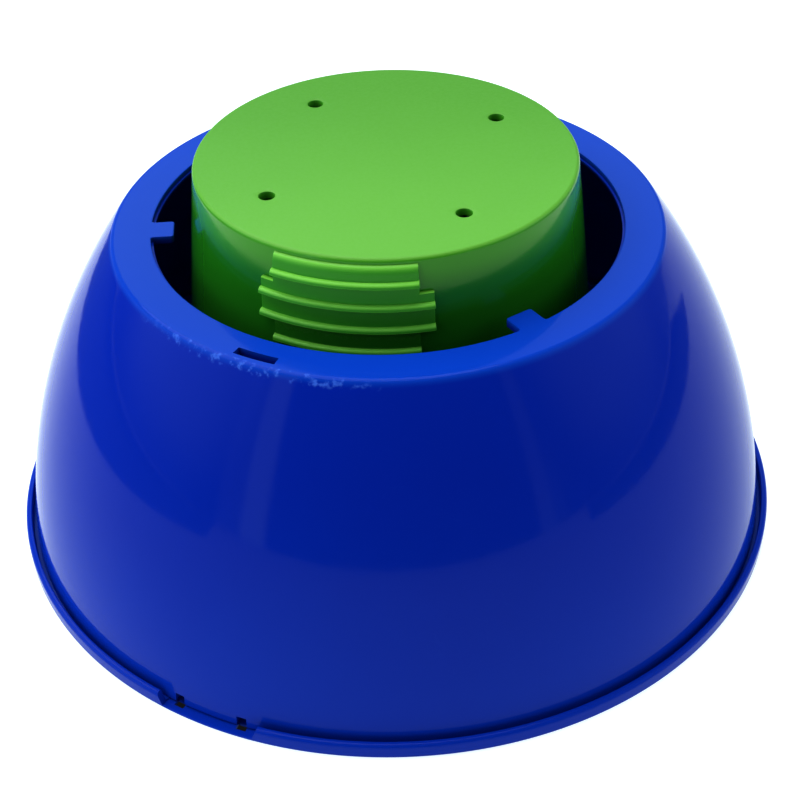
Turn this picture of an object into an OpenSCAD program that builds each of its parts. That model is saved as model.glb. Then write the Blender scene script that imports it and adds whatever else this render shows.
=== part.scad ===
// Pheromone insect trap: a blue dome on a catch tray, with a green vented lure cup in its mouth.
// Insects follow the scent from the cup, drop through the ring gap beside it and stay in the tray.
// Millimetres, +Z up, origin on the axis at the underside of the tray.

/* [Dome] */
// Height of the rim's top face above the ground
dome_h = 98.5; // [92:0.5:110]
// Diameter over the rim's outer edge
rim_d = 160.8; // [156:0.2:170]
// Diameter of the mouth inside the rim
mouth_d = 138.2; // [136:0.2:141]
// Thickness of the flat rim
rim_t = 2.6; // [2:0.1:4]
// Thickness of the dome wall
dome_wall = 2.2; // [1.6:0.1:3]
// How far the dome wall bulges out from a straight cone
dome_bulge = 7.2; // [3:0.1:10]
// Radius that rounds the rim's outer edge
rim_round = 1.8; // [0.6:0.1:2.4]

/* [Rim tabs and slots] */
// Number of inward tabs
tab_count = 3; // [2:1:4]
// Width of a tab
tab_w = 8.4; // [6:0.2:12]
// Length of a tab inward from the mouth's edge
tab_l = 6.7; // [3:0.1:7]
// Direction of the first tab, in degrees from +X
tab_az = -57; // [-60:1:-54]
// Length of a rim slot
slot_l = 12.4; // [6:0.2:16]
// Width of a rim slot
slot_w = 2.8; // [1.6:0.1:3.4]
// Solid strip between a rim slot and the rim's outer edge
slot_edge = 2.3; // [2:0.1:3]

/* [Foot recess] */
// Direction of the first recess and rim slot, the second pair lying opposite
recess_az = -117.5; // [-120:0.5:-112]
// Length of a recess along the tray's edge
recess_l = 29; // [24:0.5:36]
// Depth of a recess below the dome's foot, where a coin can lever the dome up
recess_sink = 0.4; // [0.2:0.1:0.6]
// How far each end of a recess leans back
recess_lean = 1.6; // [0:0.1:3]
// Width of a window in the recess, which is open at the dome's foot
window_w = 3; // [2:0.1:5]
// Height of a window
window_h = 3.5; // [2.6:0.1:4.5]
// Spacing of the two windows, centre to centre
window_pitch = 20; // [12:0.5:22]
// How far the drain hole below a window reaches out from the dome's foot
drain_out = 1.4; // [0.8:0.1:2]

/* [Tray] */
// Outer diameter of the tray
tray_d = 240; // [225:1:260]
// Thickness of the tray
tray_t = 1.2; // [1:0.1:2]
// Height of the tray's upstanding edge above its floor
edge_h = 3.5; // [2.5:0.1:6]
// Thickness of that edge
edge_t = 1.9; // [1.5:0.1:2.6]
// Radius that rounds the top of that edge outside
edge_round = 1.2; // [0.3:0.1:1.4]
// Groove between the dome's foot and that edge
edge_gap = 1.1; // [0.6:0.1:2]
// Height of the pan wall above the tray's floor
pan_h = 16; // [12:0.5:24]
// Thickness of the pan wall
pan_wall = 2; // [1.4:0.1:3]
// Gap between the pan wall and the dome
dome_gap = 0.5; // [0.3:0.1:1]
// Gap in front of a snap nub, which the real wall springs shut
nub_gap = 0.3; // [0.3:0.1:0.8]
// How much smaller a snap nub is than its window, all round
nub_play = 0.3; // [0.2:0.1:0.6]
// Height of the ring that locates the column
socket_h = 9; // [5:0.5:16]
// Thickness of that ring
socket_wall = 2; // [1.4:0.1:3]

/* [Centre column] */
// Height of the cup's seat above the tray's floor
column_h = 61.4; // [56:0.2:64]
// Outer diameter of the column at its foot
column_d = 92; // [80:1:100]
// Outer diameter of the column under its plate
column_top_d = 100; // [88:1:106]
// Thickness of the column's wall and plate
column_wall = 2.2; // [1.6:0.1:3]
// Play of the column on the tray's ring, on the radius
column_play = 0.3; // [0.1:0.1:0.6]
// How far the plate's edge stays inside the cup's outer edge
plate_inset = 0.6; // [0.2:0.1:1.2]
// Height of the lip that centres the cup
lip_h = 6; // [3:0.5:10]
// Thickness of that lip
lip_wall = 1.8; // [1.2:0.1:3]
// Play of the cup on the lip, on the radius
cup_play = 0.5; // [0.3:0.1:0.8]

/* [Lure cup] */
// Outer diameter of the cup at its closed top
cup_d = 110.4; // [106:0.2:111]
// Height of the cup
cup_h = 56; // [52:0.5:57]
// Slope of the cup's side, in degrees
cup_draft = 6; // [4:0.2:6]
// Thickness of the cup's wall and top
cup_wall = 2.2; // [1.6:0.1:3]
// Radius that rounds the cup's top edge
cup_round = 1.2; // [0.4:0.1:1.6]
// Number of vent holes
vent_count = 4; // [2:1:8]
// Diameter of a vent hole
vent_d = 4.6; // [3:0.1:7]
// Diameter of the circle of vent holes
vent_pcd = 78; // [60:1:90]
// Direction of the first vent hole
vent_az = 32; // [0:1:60]

/* [Grip pads] */
// Direction of the first pad, the second one lying opposite
pad_az = -102.5; // [-106:0.5:-100]
// Angle that a wide row spans
pad_wide = 48.5; // [44:0.5:52]
// Angle that a narrow row spans
pad_narrow = 40.5; // [30:0.5:42]
// Drop from the cup's top to the pad
pad_drop = 1.6; // [1.4:0.1:3]
// Spacing of the fins
fin_pitch = 6.8; // [5.5:0.1:7]
// Number of fins
fin_count = 6; // [4:1:6]
// Thickness of a fin
fin_t = 1.7; // [1.2:0.1:2.6]
// Height of the pad's plain head above the first fin
head_h = 4.1; // [3:0.1:6]
// Rounding of the head's upper edge
head_round = 1.1; // [0.4:0.1:1.4]
// Depth of a fin beyond the web
fin_depth = 1.6; // [1:0.1:2.4]
// Height of the wide shoulder above the first fin of a wide pair
shoulder_h = 2.6; // [0.6:0.1:4]
// How far the wide rows stand out past the narrow ones
wide_out = 0.3; // [0.2:0.1:0.6]
// Least height of the web above the cup's side
web_least = 0.4; // [0.2:0.1:0.8]
// How far the fins stand out from the cup's side at the pad's top
pad_out = 3.5; // [2.8:0.1:3.8]
// Slope of the pad's face, in degrees
pad_draft = 2.4; // [1.5:0.1:2.6]

/* [Lure basket] */
// Outer diameter of the basket
basket_d = 28; // [22:0.5:34]
// Height of the basket above the column's plate
basket_h = 26; // [24:0.5:27]
// Thickness of the basket's wall
basket_wall = 1.6; // [1.2:0.1:2.4]
// Width of the basket's foot outside its wall
basket_foot_w = 4; // [2:0.5:8]
// Thickness of the foot
basket_foot_t = 1.8; // [1.2:0.1:3]
// Diameter of the spigot under the foot
spigot_d = 20; // [14:0.5:21]
// Play of the spigot in the column's plate, on the radius
spigot_play = 0.15; // [0.1:0.05:0.4]
// Number of scent slots around the basket
scent_count = 8; // [4:1:10]
// Width of a scent slot
scent_w = 4; // [2:0.2:4.4]
// Solid band left above and below the scent slots
scent_band = 4; // [3:0.2:6]

/* [Cap and lure] */
// Thickness of the cap's disc
cap_t = 2; // [1.4:0.1:3]
// Overhang of the cap's disc past the basket
cap_lap = 0.8; // [0.2:0.1:2]
// Depth of the cap's plug in the basket
plug_h = 3; // [2:0.5:3]
// Thickness of the plug's wall
plug_wall = 1.4; // [1:0.1:2]
// Play of the plug in the basket, on the radius
plug_play = 0.25; // [0.15:0.05:0.5]
// Diameter of the cap's knob
knob_d = 9; // [6:0.5:12]
// Height of the cap's knob
knob_h = 4.5; // [3:0.5:5]
// Diameter of the septum pin
pin_d = 1.6; // [1:0.1:2.4]
// Length of the pin
pin_l = 13; // [10:0.5:14]
// How far the pin reaches up into the cap
pin_grip = 3.5; // [2:0.5:4]
// Play of the pin in its bores, on the radius
pin_play = 0.05; // [0.02:0.01:0.1]
// Diameter of the septum's wide end
septum_d = 9; // [7:0.5:11]
// Diameter of the septum's narrow end
septum_tip_d = 7; // [5:0.5:8]
// Length of the septum
septum_l = 16; // [12:0.5:16]
// Gap between the cap's disc and the septum
septum_drop = 4; // [3.5:0.5:5]
// Diameter of the well in the septum's lower end
septum_well_d = 4; // [2:0.5:4.5]
// Depth of that well
septum_well_h = 6; // [3:0.5:6]

/* [Hidden] */
$fn = 96;
eps = 0.01;
// How far stacked rows of a pad run into one another
fuse = 0.4;
arc_steps = 40;
round_steps = 6;
blue = [0.07, 0.16, 0.62];
green = [0.38, 0.73, 0.25];

// Radii and heights that several pieces share
tray_r = tray_d / 2;
rim_r = rim_d / 2;
mouth_r = mouth_d / 2;
edge_top = tray_t + edge_h;
edge_in = tray_r - edge_t;
foot_r = edge_in - edge_gap;
tab_tip_r = mouth_r - tab_l;

// Circle of the dome's outer face, through the rim's edge and the foot
chord = [foot_r - rim_r, tray_t - dome_h];
chord_l = norm(chord);
arc_r = (chord_l * chord_l / 4 + dome_bulge * dome_bulge) / (2 * dome_bulge);
arc_x = (rim_r + foot_r) / 2 + chord.y / chord_l * (arc_r - dome_bulge);
arc_z = (dome_h + tray_t) / 2 - chord.x / chord_l * (arc_r - dome_bulge);
inner_arc_r = arc_r - dome_wall;
function arc_radius_at(r, z) = arc_x + sqrt(r * r - (z - arc_z) * (z - arc_z));
function outer_r(z) = arc_radius_at(arc_r, z);
function inner_r(z) = arc_radius_at(inner_arc_r, z);
function arc_point(r, a) = [arc_x + r * cos(a), arc_z + r * sin(a)];
function height_angle(r, z) = asin((z - arc_z) / r);
function steps(from, to, n) = [for (i = [0:n]) from + (to - from) * i / n];

// Tray and column
pan_r = inner_r(tray_t + pan_h) - dome_gap;
nub_r = inner_r(tray_t + window_h) - nub_gap;
socket_r = column_d / 2 - column_wall - column_play;
seat_z = tray_t + column_h;
plate_z = seat_z - column_wall;

// Cup
cup_r = cup_d / 2;
cup_top = seat_z + cup_h;
cup_slope = tan(cup_draft);
skin = cup_wall / cos(cup_draft);
function cup_r_at(z) = cup_r + (cup_top - z) * cup_slope;
cup_foot_r = cup_r_at(seat_z);
plate_r = cup_foot_r - plate_inset;
lip_r = cup_r_at(seat_z + lip_h) - skin - cup_play;
pad_top = cup_top - pad_drop;
function fin_z(i) = pad_top - head_h - i * fin_pitch;
function is_wide(i) = i % 3 > 0;
function row_angle(i) = is_wide(i) ? pad_wide : pad_narrow;
function row_out(i) = is_wide(i) ? wide_out : 0;
function pad_r(i, z) = cup_r_at(pad_top) + pad_out + row_out(i) + (pad_top - z) * tan(pad_draft);
function web_r(i, z) = max(pad_r(i, z) - fin_depth, cup_r_at(z) + web_least + row_out(i));
function widens(i) = row_angle(i) > row_angle(i - 1);
function fin_foot(i) = fin_z(i) - fin_t;
function row_top(i) = i == 0 ? pad_top : widens(i) ? fin_z(i) + shoulder_h : fin_foot(i - 1) + fuse;
function row_bottom(i) = i < fin_count - 1 && widens(i + 1) ? fin_z(i + 1) + shoulder_h - fuse : fin_foot(i);

// Basket, cap and lure
basket_r = basket_d / 2;
basket_in = basket_r - basket_wall;
basket_top = seat_z + basket_h;
cap_r = basket_r + cap_lap;
cap_top = basket_top + cap_t;
pin_top = basket_top + pin_grip;
septum_top = basket_top - septum_drop;
septum_r = septum_d / 2;

// Ring of rectangular section between two radii and two heights
module ring(r_in, r_out, z0, z1) {
    rotate_extrude()
        translate([r_in, z0])
            square([r_out - r_in, z1 - z0]);
}

// Copies of the children at the recess direction and opposite it
module at_recesses() {
    for (side = [0, 180])
        rotate(recess_az + side)
            children();
}

// Copies of the children at both windows of both recesses
module at_windows() {
    window_turn = 2 * asin(window_pitch / 2 / foot_r);
    at_recesses()
        for (side = [-1, 1])
            rotate(side * window_turn / 2)
                children();
}

// Block at a window, between two radii and two heights, and narrower than the window by play on each side
module window_block(r_in, r_out, z0, z1, play) {
    translate([r_in, -window_w / 2 + play, z0])
        cube([r_out - r_in, window_w - 2 * play, z1 - z0]);
}

// Section of the dome wall and rim
module dome_section() {
    round_z = dome_h - rim_round;
    round_x = arc_radius_at(arc_r - rim_round, round_z);
    round_a = height_angle(arc_r - rim_round, round_z);
    edge = [for (a = steps(90, round_a, round_steps)) [round_x + rim_round * cos(a), round_z + rim_round * sin(a)]];
    outer = [for (a = steps(round_a, height_angle(arc_r, tray_t), arc_steps)) arc_point(arc_r, a)];
    under = dome_h - rim_t;
    inner = [for (a = steps(height_angle(inner_arc_r, tray_t), height_angle(inner_arc_r, under), arc_steps))
        arc_point(inner_arc_r, a)];
    polygon(concat([[mouth_r, dome_h]], edge, [for (i = [1:arc_steps]) outer[i]], inner, [[mouth_r, under]]));
}

// Curved slot through the rim
module rim_slot() {
    outer = rim_r - slot_edge;
    turn = slot_l / outer * 180 / PI;
    rotate(-turn / 2)
        rotate_extrude(angle = turn)
            translate([outer - slot_w, dome_h - 2 * rim_t])
                square([slot_w, 3 * rim_t]);
}

module dome_shell() {
    color(blue)
        difference() {
            union() {
                rotate_extrude()
                    dome_section();
                for (i = [0:tab_count - 1])
                    rotate(tab_az + i * 360 / tab_count)
                        translate([tab_tip_r, -tab_w / 2, dome_h - rim_t])
                            cube([rim_r - tab_tip_r - 2 * rim_round, tab_w, rim_t]);
            }
            at_recesses()
                rim_slot();
            at_windows()
                window_block(foot_r - 4 * dome_wall, tray_r, 0, tray_t + window_h, 0);
        }
}

// Section of the tray's plate and upstanding edge
module tray_section() {
    round_x = tray_r - edge_round;
    round_z = edge_top - edge_round;
    crown = [for (a = steps(0, 90, round_steps)) [round_x + edge_round * cos(a), round_z + edge_round * sin(a)]];
    polygon(concat([[0, 0], [tray_r, 0]], crown, [[edge_in, edge_top], [edge_in, tray_t], [0, tray_t]]));
}

// Cut through the tray's edge and under the dome's foot at a recess, with ends that lean back
module recess_cut() {
    half = recess_l / 2;
    reach = 3 * edge_h;
    lean = recess_lean * (reach + recess_sink) / (edge_h + recess_sink);
    translate([foot_r - dome_wall, 0, tray_t])
        rotate([90, 0, 90])
            linear_extrude(height = tray_r)
                polygon([[-half, -recess_sink], [half, -recess_sink], [half + lean, reach], [-half - lean, reach]]);
}

module base_tray() {
    color(blue)
        union() {
            difference() {
                rotate_extrude()
                    tray_section();
                at_recesses()
                    recess_cut();
                at_windows()
                    window_block(foot_r - dome_wall / 2, foot_r + drain_out, -tray_t, edge_top, 0);
            }
            ring(pan_r - pan_wall, pan_r, tray_t / 2, tray_t + pan_h);
            ring(socket_r - socket_wall, socket_r, tray_t / 2, tray_t + socket_h);
            at_windows()
                window_block(pan_r - pan_wall / 2, nub_r, tray_t + nub_play, tray_t + window_h - nub_play, nub_play);
        }
}

// Section of the column's wall, plate and lip
module column_section() {
    foot = column_d / 2;
    head = column_top_d / 2;
    bore = spigot_d / 2 + spigot_play;
    polygon([[foot - column_wall, tray_t], [foot, tray_t], [head, plate_z], [plate_r, plate_z], [plate_r, seat_z],
        [lip_r, seat_z], [lip_r, seat_z + lip_h], [lip_r - lip_wall, seat_z + lip_h], [lip_r - lip_wall, seat_z],
        [bore, seat_z], [bore, plate_z], [head - column_wall, plate_z]]);
}

module centre_column() {
    color([0.10, 0.20, 0.60])
        rotate_extrude()
            column_section();
}

// Section of the cup's top and side
module cup_section() {
    round_x = cup_r - cup_round * tan(45 - cup_draft / 2);
    edge = [for (a = steps(90, cup_draft, round_steps))
        [round_x + cup_round * cos(a), cup_top - cup_round + cup_round * sin(a)]];
    under = cup_top - cup_wall;
    polygon(concat([[0, cup_top]], edge, [[cup_foot_r, seat_z], [cup_foot_r - skin, seat_z],
        [cup_r_at(under) - skin, under], [0, under]]));
}

// One row of a grip pad about +X: a fin, and the web above and below it; the first row has a rounded head
module pad_row(i) {
    turn = row_angle(i);
    z0 = row_bottom(i);
    z1 = row_top(i);
    foot = fin_foot(i);
    root = cup_r_at((z0 + z1) / 2) - cup_wall / 2;
    head_x = web_r(i, z1 - head_round) - head_round;
    head = i > 0 ? [[web_r(i, z1), z1]]
        : [for (a = steps(0, 90, round_steps)) [head_x + head_round * cos(a), z1 - head_round + head_round * sin(a)]];
    rotate(-turn / 2)
        rotate_extrude(angle = turn)
            union() {
                polygon(concat([[root, z0], [web_r(i, z0), z0]], head, [[root, z1]]));
                polygon([[root, foot], [pad_r(i, foot), foot], [pad_r(i, fin_z(i)), fin_z(i)], [root, fin_z(i)]]);
            }
}

module lure_cup() {
    color(green)
        difference() {
            union() {
                rotate_extrude()
                    cup_section();
                for (side = [0, 180], i = [0:fin_count - 1])
                    rotate(pad_az + side)
                        pad_row(i);
            }
            for (i = [0:vent_count - 1])
                rotate(vent_az + i * 360 / vent_count)
                    translate([vent_pcd / 2, 0, cup_top - 2 * cup_wall])
                        cylinder(d = vent_d, h = 3 * cup_wall);
        }
}

module lure_basket() {
    slot_z = seat_z + scent_band;
    color([0.92, 0.92, 0.88])
        difference() {
            union() {
                cylinder(r = basket_r + basket_foot_w, h = basket_foot_t + seat_z);
                cylinder(r = basket_r, h = basket_top);
            }
            translate([0, 0, -eps])
                cylinder(r = basket_r + 2 * basket_foot_w, h = plate_z + eps);
            ring(spigot_d / 2, basket_r + 2 * basket_foot_w, plate_z - eps, seat_z);
            translate([0, 0, seat_z + basket_foot_t])
                cylinder(r = basket_in, h = basket_h);
            for (i = [0:scent_count - 1])
                rotate(i * 360 / scent_count)
                    translate([basket_in / 2, -scent_w / 2, slot_z])
                        cube([basket_r, scent_w, basket_h - 2 * scent_band]);
        }
}

module basket_cap() {
    plug_r = basket_in - plug_play;
    color([0.92, 0.92, 0.88])
        difference() {
            union() {
                translate([0, 0, basket_top])
                    cylinder(r = cap_r, h = cap_t);
                ring(plug_r - plug_wall, plug_r, basket_top - plug_h, basket_top + eps);
                translate([0, 0, basket_top])
                    cylinder(d = knob_d, h = cap_t + knob_h);
            }
            translate([0, 0, basket_top - plug_h])
                cylinder(d = pin_d + 2 * pin_play, h = plug_h + pin_grip);
        }
}

module septum_pin() {
    color("silver")
        translate([0, 0, pin_top - pin_l])
            cylinder(d = pin_d, h = pin_l);
}

module lure_septum() {
    bore_l = pin_l - pin_grip - septum_drop;
    color([0.62, 0.22, 0.16])
        difference() {
            translate([0, 0, septum_top - septum_l])
                cylinder(r1 = septum_tip_d / 2, r2 = septum_r, h = septum_l);
            translate([0, 0, septum_top - bore_l])
                cylinder(d = pin_d + 2 * pin_play, h = bore_l + eps);
            translate([0, 0, septum_top - septum_l - eps])
                cylinder(d = septum_well_d, h = septum_well_h);
        }
}

base_tray();
dome_shell();
centre_column();
lure_cup();
lure_basket();
basket_cap();
septum_pin();
lure_septum();
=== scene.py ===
import math

import bpy
import numpy as np
from mathutils import Matrix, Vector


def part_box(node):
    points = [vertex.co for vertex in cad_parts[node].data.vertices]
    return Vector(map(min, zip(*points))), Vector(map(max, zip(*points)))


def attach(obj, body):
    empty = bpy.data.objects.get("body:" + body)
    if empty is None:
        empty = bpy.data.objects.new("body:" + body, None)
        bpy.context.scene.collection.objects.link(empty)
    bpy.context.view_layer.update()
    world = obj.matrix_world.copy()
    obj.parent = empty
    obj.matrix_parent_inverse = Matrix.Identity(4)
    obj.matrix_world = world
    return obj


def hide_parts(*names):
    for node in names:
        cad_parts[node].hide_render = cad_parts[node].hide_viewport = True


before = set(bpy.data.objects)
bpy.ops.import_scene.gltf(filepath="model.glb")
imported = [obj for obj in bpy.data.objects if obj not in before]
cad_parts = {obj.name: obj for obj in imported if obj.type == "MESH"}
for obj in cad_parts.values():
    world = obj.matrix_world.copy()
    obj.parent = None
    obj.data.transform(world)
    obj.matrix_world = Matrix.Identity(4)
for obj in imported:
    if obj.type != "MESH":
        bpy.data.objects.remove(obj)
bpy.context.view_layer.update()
mm = 0.001  # shapes are worked out in millimetres, meshes are in metres


def extent(node):  # lowest and highest corner of a node, in millimetres
    low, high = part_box(node)
    return np.round(np.array(low) / mm, 3), np.round(np.array(high) / mm, 3)


def arc(centreR, centreZ, radius, start, end, count):
    # circle arc in the section: centre plus radius times (cos, sin) of evenly spaced angles in degrees
    a = np.radians(np.linspace(start, end, count))
    return np.stack([centreR + radius * np.cos(a), centreZ + radius * np.sin(a)], 1)


def roundedLoop(corners, steps=5, guard=0.05):
    # closed outline with an arc at each corner: its centre lies on the bisector, radius / sin(half angle)
    # away, and its points turn evenly from one tangent point to the other; a guard point stands before
    # and after it, so that the flat beside it shades flat
    table = np.array(corners, float)
    corner, radius = table[:, :2], table[:, 2:]
    back = np.roll(corner, 1, 0) - corner
    ahead = np.roll(corner, -1, 0) - corner
    back /= np.linalg.norm(back, axis=1, keepdims=True)
    ahead /= np.linalg.norm(ahead, axis=1, keepdims=True)
    half = np.arccos(np.clip((back * ahead).sum(1, keepdims=True), -1, 1)) / 2
    bisector = (back + ahead) / (2 * np.cos(half))
    centre = corner + bisector * radius / np.sin(half)
    reach = radius / np.tan(half)
    first, last = corner + back * reach, corner + ahead * reach
    turn = (np.pi - 2 * half)[:, None, :]
    share = np.linspace(0, 1, steps)[None, :, None]
    bend = (np.sin((1 - share) * turn) * (first - centre)[:, None] + np.sin(share * turn) * (last - centre)[:, None])
    bend = centre[:, None] + bend / np.sin(turn)
    spare = guard * (radius > 0)
    bend = np.concatenate([(first + back * spare)[:, None], bend, (last + ahead * spare)[:, None]], 1)
    return bend.reshape(-1, 2)


def revolve(profile, angle):
    # each section point (r, z) goes round the axis: x = r cos(angle), y = r sin(angle)
    radius, height = profile[:, :1], profile[:, 1:]
    a = np.radians(angle)[None]
    return np.stack([radius * np.cos(a), radius * np.sin(a), height + 0 * a], -1)


def gridIndex(points):
    return np.arange(points.shape[0] * points.shape[1]).reshape(points.shape[:2])


def gridQuads(index, keep):
    # a quad between each point, its right neighbour and the two below, both directions running round
    right = np.roll(index, -1, 1)
    quads = np.stack([index, right, np.roll(right, -1, 0), np.roll(index, -1, 0)], -1)
    return quads[keep]


def blockLoop(index, rows, first, last):
    # border of a block of cells: along its top row, down the last column, back, and up the first column
    rows = np.array(rows)
    across = np.arange(first, last + 1)
    return np.concatenate([index[rows[0], across], index[rows[1:], last],
                           index[rows[-1], across[::-1][1:]], index[rows[::-1][1:-1], first]])


def joinLoops(loops):
    # quads between each loop of points and the next one
    loops = np.array(loops)
    after = np.roll(loops, -1, 1)
    return np.stack([loops[:-1], after[:-1], after[1:], loops[1:]], -1).reshape(-1, 4)


def openCells(keep, rows, first, last):  # takes a block of cells out of the grid
    keep[min(rows):max(rows), first:last] = False


def columnAngles(seam, step, marks, clear=0.2):
    # even columns round the axis, with those too near a mark left out and the marks put in
    even = seam + np.arange(0, 360, step)
    gap = np.abs((even[:, None] - np.array(marks)[None] + 180) % 360 - 180)
    marks = (np.array(marks) - seam) % 360 + seam
    return np.sort(np.concatenate([even[(gap > clear).all(1)], marks]))


def weld(points, quads, caps):
    # points on the same tenth of a micron become one; a quad with one side shrunk away is a triangle
    key = np.round(points * 1e4).astype(np.int64)
    _, first, place = np.unique(key, axis=0, return_index=True, return_inverse=True)
    place = place.reshape(-1)
    quads = place[quads]
    short = quads == np.roll(quads, -1, 1)
    crossed = (quads[:, 0] == quads[:, 2]) | (quads[:, 1] == quads[:, 3])
    whole = quads[~short.any(1) & ~crossed]
    slim = quads[(short.sum(1) == 1) & ~crossed]
    drop = (slim == np.roll(slim, -1, 1)).argmax(1)
    triangles = slim[np.arange(4)[None] != drop[:, None]].reshape(-1, 3)
    caps = [place[cap] for cap in caps]
    return points[first], whole, triangles, [cap[cap != np.roll(cap, 1)] for cap in caps]


def makePiece(name, points, quads, finish, body, caps=(), crease=35):
    points, whole, triangles, caps = weld(points.reshape(-1, 3), quads, caps)
    fan = np.concatenate([whole[:, :3], whole[:, [0, 2, 3]], triangles])
    volume = (points[fan[:, 0]] * np.cross(points[fan[:, 1]], points[fan[:, 2]])).sum() / 6
    faces = whole.tolist() + triangles.tolist() + [cap.tolist() for cap in caps]
    if volume < 0:
        faces = [face[::-1] for face in faces]
    mesh = bpy.data.meshes.new(name)
    mesh.from_pydata((points * mm).tolist(), [], faces)
    mesh.polygons.foreach_set("use_smooth", np.ones(len(mesh.polygons), bool))
    mesh.set_sharp_from_angle(angle=math.radians(crease))
    mesh.materials.append(finish)
    piece = bpy.data.objects.new(name, mesh)
    bpy.context.scene.collection.objects.link(piece)
    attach(piece, body)
    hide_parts(name.removesuffix("_look"))
    print(name, len(points), "points,", len(faces), "faces,", round(abs(volume) / 1000, 1), "cm3")
    return piece


def makeTurned(name, corners, step, finish, body):  # a rounded section carried once round the axis
    points = revolve(roundedLoop(corners), np.arange(0, 360, step))
    index = gridIndex(points)
    return makePiece(name, points, gridQuads(index, np.ones(index.shape, bool)), finish, body)


# Finishes
def put(tree, kind, sockets=None, **settings):  # adds a node, links sockets and sets the rest
    made = tree.nodes.new(kind)
    for key, value in settings.items():
        setattr(made, key, value)
    for key, value in (sockets or {}).items():
        if isinstance(value, bpy.types.NodeSocket):
            tree.links.new(value, made.inputs[key])
        else:
            made.inputs[key].default_value = value
    return made


def newFinish(name):
    finish = bpy.data.materials.new(name)
    finish.use_nodes = True
    tree = finish.node_tree
    shader = tree.nodes["Principled BSDF"]
    spot = put(tree, "ShaderNodeTexCoord").outputs["Object"]
    return finish, tree, shader, spot


def noise(tree, spot, scale, detail=2.0, stretch=None):  # noise in metres, stretched along an axis if asked
    if stretch:
        spot = put(tree, "ShaderNodeMapping", {"Vector": spot, "Scale": stretch}).outputs[0]
    return put(tree, "ShaderNodeTexNoise", {"Vector": spot, "Scale": scale, "Detail": detail}).outputs[0]


def ramp(tree, value, low, high, start=0.0, end=1.0):  # eases from start to end as value goes from low to high
    sockets = {"Value": value, "From Min": low, "From Max": high, "To Min": start, "To Max": end}
    return put(tree, "ShaderNodeMapRange", sockets, interpolation_type="SMOOTHSTEP").outputs[0]


def maths(tree, operation, a, b=0.0, c=0.0):
    return put(tree, "ShaderNodeMath", {0: a, 1: b, 2: c}, operation=operation).outputs[0]


def blendColour(tree, share, a, b):
    return put(tree, "ShaderNodeMix", {0: share, 6: a, 7: b}, data_type="RGBA").outputs[2]


def link(tree, shader, **sockets):
    for key, value in sockets.items():
        tree.links.new(value, shader.inputs[key.replace("_", " ")])


blueLook = {"deep": (0.0016, 0.0205, 0.328, 1), "light": (0.0022, 0.0335, 0.382, 1),
            "rim": (0.0026, 0.050, 0.425, 1), "paleWearAndGlint": (0.05, 0.14, 0.60, 1), "rough": (0.05, 0.11),
            "scuffRough": 0.4, "specular": 0.075, "ripple": 0.012, "scratched": 0.03, "paintedBounceHeight": 0.085,
            "rimFlat": (0.0966, 0.0982), "edgeReach": (0.0790, 0.0800), "edgeHeight": (0.0960, 0.0970),
            "slotSide": (-0.4617, -0.8870, 0.0), "slotZone": (0.070, 0.0795)}  # places in metres


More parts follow.
